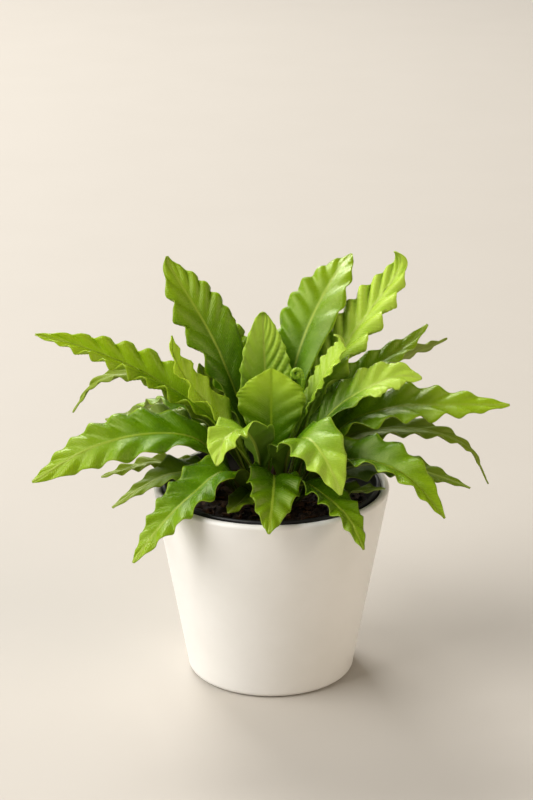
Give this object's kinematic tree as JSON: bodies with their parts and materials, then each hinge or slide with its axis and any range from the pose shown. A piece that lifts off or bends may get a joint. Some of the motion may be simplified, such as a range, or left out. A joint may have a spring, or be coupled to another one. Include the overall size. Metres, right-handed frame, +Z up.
{
  "type": "potted fern",
  "caption": "Wavy-edged bird's-nest fern with strap-shaped fronds in a black nursery pot, standing in a plain tapered white ceramic cover pot.",
  "frame": {"origin": "middle of the cover pot's flat bottom, on the surface it stands on", "axes": "+Z up, -Y towards the front as seen in the picture, +X to the right of that view"},
  "size_m": [0.2795, 0.222, 0.2473],
  "materials": {
    "white_ceramic": "satin",
    "black_plastic": "satin",
    "potting_mix": "matte",
    "rootstock": "matte",
    "frond_mature": "satin",
    "frond_old": "satin",
    "frond_light": "satin",
    "frond_young": "satin"
  },
  "bodies": {
    "root": {"cover_pot": "white_ceramic", "nursery_pot": "black_plastic", "potting_soil": "potting_mix", "crown": "rootstock", "crozier": "frond_young", "frond_left_long": "frond_mature", "frond_left_hanging": "frond_old", "frond_back_left_tall": "frond_mature", "frond_back_left_hidden": "frond_mature", "frond_back_upright": "frond_light", "frond_centre_broad": "frond_young", "frond_back_right_tall": "frond_mature", "frond_right_tall": "frond_light", "frond_centre_right_small": "frond_light", "frond_right_back_small": "frond_mature", "frond_right_back_thin": "frond_old", "frond_right_arching": "frond_light", "frond_right_long": "frond_mature", "frond_right_hanging": "frond_old", "frond_right_low": "frond_mature", "frond_right_low_behind": "frond_old", "frond_front_right_light": "frond_light", "frond_front_right_low": "frond_mature", "frond_front_centre": "frond_mature", "frond_front_left_long": "frond_mature", "frond_left_low": "frond_old", "frond_left_broad": "frond_mature", "frond_left_small": "frond_old", "frond_front_left_small": "frond_light", "frond_left_twisted": "frond_young", "frond_left_short": "frond_old", "frond_left_behind": "frond_old", "frond_right_rim": "frond_old", "frond_front_left_low": "frond_old", "frond_back_right_low": "frond_mature", "frond_back_middle": "frond_mature", "frond_back_low": "frond_old", "frond_back_long": "frond_mature", "frond_back_left_low": "frond_old", "frond_back_left_long": "frond_mature"}
  },
  "joints": []
}
